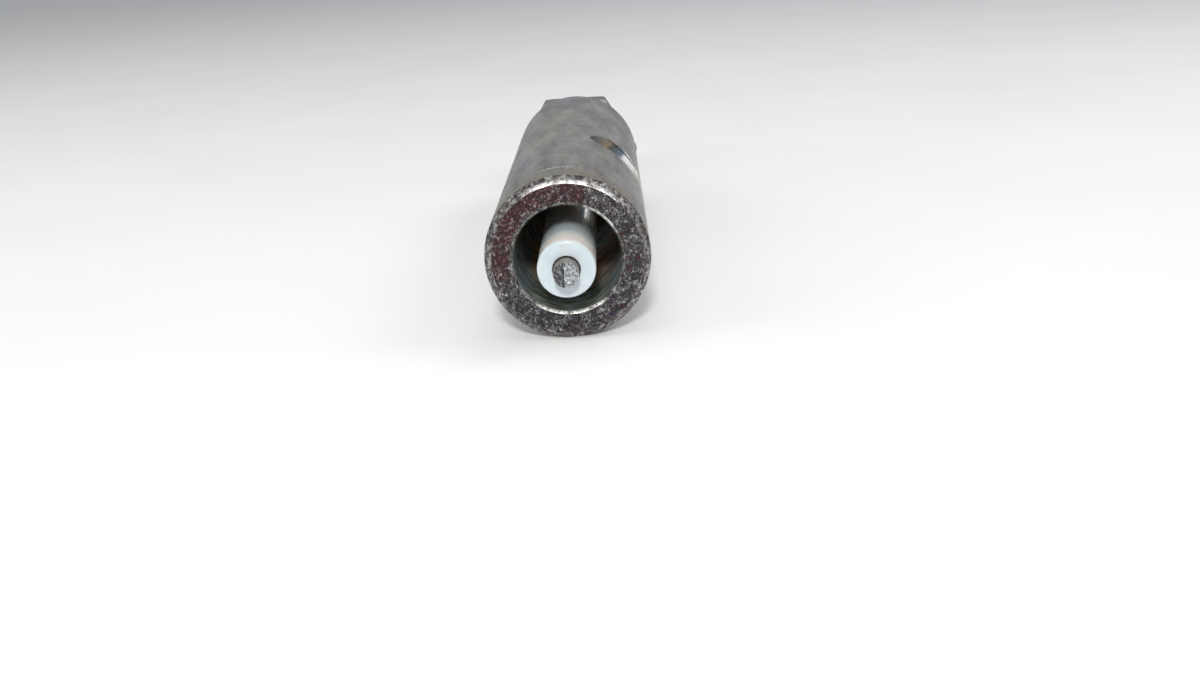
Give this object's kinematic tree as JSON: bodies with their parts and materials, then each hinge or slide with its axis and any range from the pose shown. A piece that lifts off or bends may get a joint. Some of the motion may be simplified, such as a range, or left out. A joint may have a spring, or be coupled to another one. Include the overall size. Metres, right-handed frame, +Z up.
{
  "type": "ignition electrode",
  "caption": "Steel sleeve with a side port, holding a ceramic-insulated spark rod in a packed rear gland, with a screw terminal behind it.",
  "frame": {"origin": "on the sleeve's axis, at the middle of its length", "axes": "-Y is the spark end, +Y the terminal end, +Z up with the side port 50 degrees round from +Z towards +X"},
  "size_m": [0.022, 0.1358, 0.0212],
  "materials": {
    "sleeve_steel": "dull mill-finish pipe steel with a rough-ground mouth",
    "gland_steel": "turned free-cutting steel, light oil film",
    "copper": "annealed copper, dull",
    "graphite": "pressed flexible graphite",
    "brass": "turned brass, slightly tarnished",
    "alumina": "dense white alumina, smooth and glossy",
    "rod_alloy": "heat-resisting iron-chromium-aluminium wire with a sheared end",
    "cement": "fired refractory cement",
    "fibre": "mica-fibre washer",
    "plated_steel": "bright zinc plate",
    "spring_steel": "phosphated spring steel"
  },
  "bodies": {
    "housing": {"sleeve": "sleeve_steel", "body_gasket": "copper", "gland_body": "gland_steel", "seat_washer": "gland_steel", "packing_ring_front": "graphite", "packing_ring_middle": "graphite", "packing_ring_rear": "graphite"},
    "gland_follower": {"follower": "brass"},
    "gland_screw": {"gland_nut": "gland_steel"},
    "electrode": {"insulator_tube": "alumina", "electrode_rod": "rod_alloy", "cement_seal": "cement", "cushion_washer": "fibre", "terminal_cap": "brass", "terminal_stud": "brass", "hex_nut": "plated_steel", "plain_washer": "plated_steel"},
    "lug_clamp": {"clamp_washer": "plated_steel", "lock_washer": "spring_steel"},
    "thumb_screw": {"thumb_nut": "brass"}
  },
  "joints": [
    {"name": "electrode_slide", "type": "slide", "parent": "housing", "child": "electrode", "axis": [0, 1, 0], "range_m": [-0.01, 0.0078]},
    {"name": "follower_slide", "type": "slide", "parent": "housing", "child": "gland_follower", "axis": [0, 1, 0], "range_m": [0, 0.002]},
    {"name": "gland_nut_turn", "type": "hinge", "parent": "gland_follower", "child": "gland_screw", "pos_m": [0, 0.0419, 0], "axis": [0, 1, 0], "range_deg": [0, 720]},
    {"name": "clamp_slide", "type": "slide", "parent": "electrode", "child": "lug_clamp", "axis": [0, 1, 0], "range_m": [0, 0.0024]},
    {"name": "thumb_nut_turn", "type": "hinge", "parent": "lug_clamp", "child": "thumb_screw", "pos_m": [0, 0.0809, 0], "axis": [0, 1, 0], "range_deg": [0, 1080]}
  ],
  "couplings": [
    {"joint": "gland_nut_turn", "follows": "follower_slide", "rad_per_m": 6283.2},
    {"joint": "thumb_nut_turn", "follows": "clamp_slide", "rad_per_m": 7854}
  ]
}
